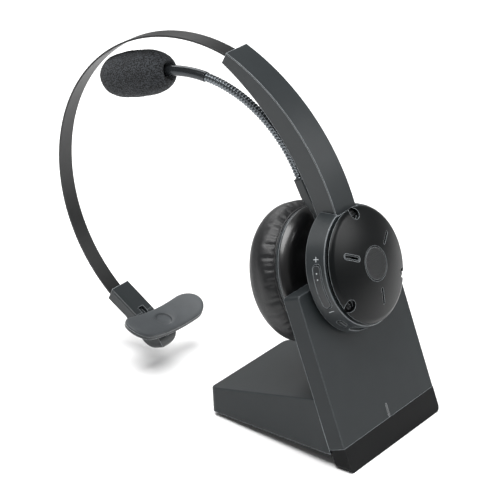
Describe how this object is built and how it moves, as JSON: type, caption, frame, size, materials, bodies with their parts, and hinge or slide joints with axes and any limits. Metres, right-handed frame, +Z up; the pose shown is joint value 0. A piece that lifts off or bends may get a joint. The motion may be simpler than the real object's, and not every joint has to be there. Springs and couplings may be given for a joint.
{
  "type": "office headset",
  "caption": "Wireless one-ear office headset with a boom microphone and a sliding steel headband, docked on a leaning charging stand.",
  "frame": {"origin": "centre of the front foot's underside, on the desk", "axes": "+Z up, +Y back from the stand's front plate towards its base and the headband, +X along the plate's width, to the right seen from the front"},
  "size_m": [0.068, 0.1815, 0.1584],
  "materials": {
    "stand_shell": "moulded ABS, fine texture",
    "foot_trim": "smooth dark ABS",
    "cup_shell": "moulded ABS, satin",
    "cup_gloss": "polished ABS",
    "key_plastic": "satin key",
    "screw_steel": "black zinc steel",
    "band_steel": "black satin spring steel",
    "tube_metal": "satin black metal",
    "socket_steel": "plated steel",
    "ballast_steel": "raw steel",
    "gold_contact": "gold plated",
    "rubber_foot": "moulded rubber",
    "pad_rubber": "soft elastomer",
    "cushion_leather": "black leatherette",
    "foam_fabric": "open-cell foam",
    "cloth_fabric": "acoustic cloth",
    "board_green": "glass-epoxy board",
    "cell_foil": "foil pouch",
    "lens_clear": "smoked polycarbonate",
    "cone_film": "polyester film"
  },
  "bodies": {
    "stand": {"stand_plate": "stand_shell", "stand_back": "stand_shell", "front_foot": "foot_trim", "stand_base": "stand_shell", "base_floor": "stand_shell", "floor_screws": "screw_steel", "rear_foot_left": "rubber_foot", "rear_foot_right": "rubber_foot", "ballast_plate": "ballast_steel", "charge_board": "board_green", "inlet_shell": "socket_steel", "inlet_tongue": "cup_gloss", "charge_pins": "gold_contact", "pin_block": "cup_gloss", "lamp_window": "lens_clear", "lamp_board": "board_green"},
    "ear_cup": {"ear_housing": "cup_shell", "ear_cap": "cup_shell", "cap_screws": "screw_steel", "cap_lenses": "lens_clear", "charge_port": "socket_steel", "side_switches": "cup_gloss", "dock_contacts": "gold_contact", "battery": "cell_foil", "main_board": "board_green", "mode_switch": "cup_gloss", "spindle": "cup_shell", "retaining_ring": "socket_steel", "inner_cup": "cup_gloss", "baffle": "cup_shell", "speaker_frame": "socket_steel", "speaker_magnet": "ballast_steel", "speaker_cone": "cone_film", "speaker_grille": "cup_shell", "cushion_ring": "cup_shell", "ear_cushion": "cushion_leather", "ear_cloth": "cloth_fabric", "arm_cover": "cup_shell", "arm_channel": "cup_shell", "arm_screws": "screw_steel"},
    "mode_key": {"mode_button": "key_plastic"},
    "volume_key": {"volume_rocker": "key_plastic"},
    "power_key": {"power_button": "key_plastic"},
    "boom": {"boom_lever": "cup_shell", "gooseneck": "tube_metal", "mic_tube": "tube_metal", "mic_capsule": "cup_gloss", "windscreen": "foam_fabric"},
    "headband": {"steel_band": "band_steel", "band_slider": "cup_shell", "pad_sleeve": "cup_shell", "ball_socket": "cup_gloss", "socket_plug": "cup_gloss"},
    "pad_pivot": {"ball_stud": "socket_steel"},
    "temple_pad": {"temple_pad_shell": "cup_shell", "temple_pad_skin": "pad_rubber"}
  },
  "joints": [
    {"name": "headset_lift", "type": "slide", "parent": "stand", "child": "ear_cup", "axis": [0, 0.3584, 0.9336], "range_m": [0, 0.06]},
    {"name": "band_extension", "type": "hinge", "parent": "ear_cup", "child": "headband", "pos_m": [0, 0.10283, 0.08399], "axis": [-1, 0, 0], "range_deg": [0, 15.5]},
    {"name": "boom_swing", "type": "hinge", "parent": "ear_cup", "child": "boom", "pos_m": [0, 0.0278, 0.07241], "axis": [0, -0.9336, 0.3584], "range_deg": [-60, 60]},
    {"name": "pad_tilt", "type": "hinge", "parent": "headband", "child": "pad_pivot", "pos_m": [0, 0.12359, 0.01319], "axis": [1, 0, 0], "range_deg": [-6, 10]},
    {"name": "pad_swivel", "type": "hinge", "parent": "pad_pivot", "child": "temple_pad", "pos_m": [0, 0.12359, 0.01319], "axis": [0, -0.2823, 0.9593], "range_deg": [-8, 8]},
    {"name": "mode_press", "type": "slide", "parent": "ear_cup", "child": "mode_key", "axis": [0, 0.9336, -0.3584], "range_m": [0, 0.0005], "stiffness_N_per_m": 400, "springref_m": -0.001},
    {"name": "volume_rock", "type": "hinge", "parent": "ear_cup", "child": "volume_key", "pos_m": [-0.0238, 0.01827, 0.07607], "axis": [0, -0.9336, 0.3584], "range_deg": [-2, 2], "stiffness_Nm_per_rad": 0.2},
    {"name": "power_press", "type": "slide", "parent": "ear_cup", "child": "power_key", "axis": [0.7193, 0.2489, 0.6485], "range_m": [0, 0.0004], "stiffness_N_per_m": 500, "springref_m": -0.0008}
  ]
}
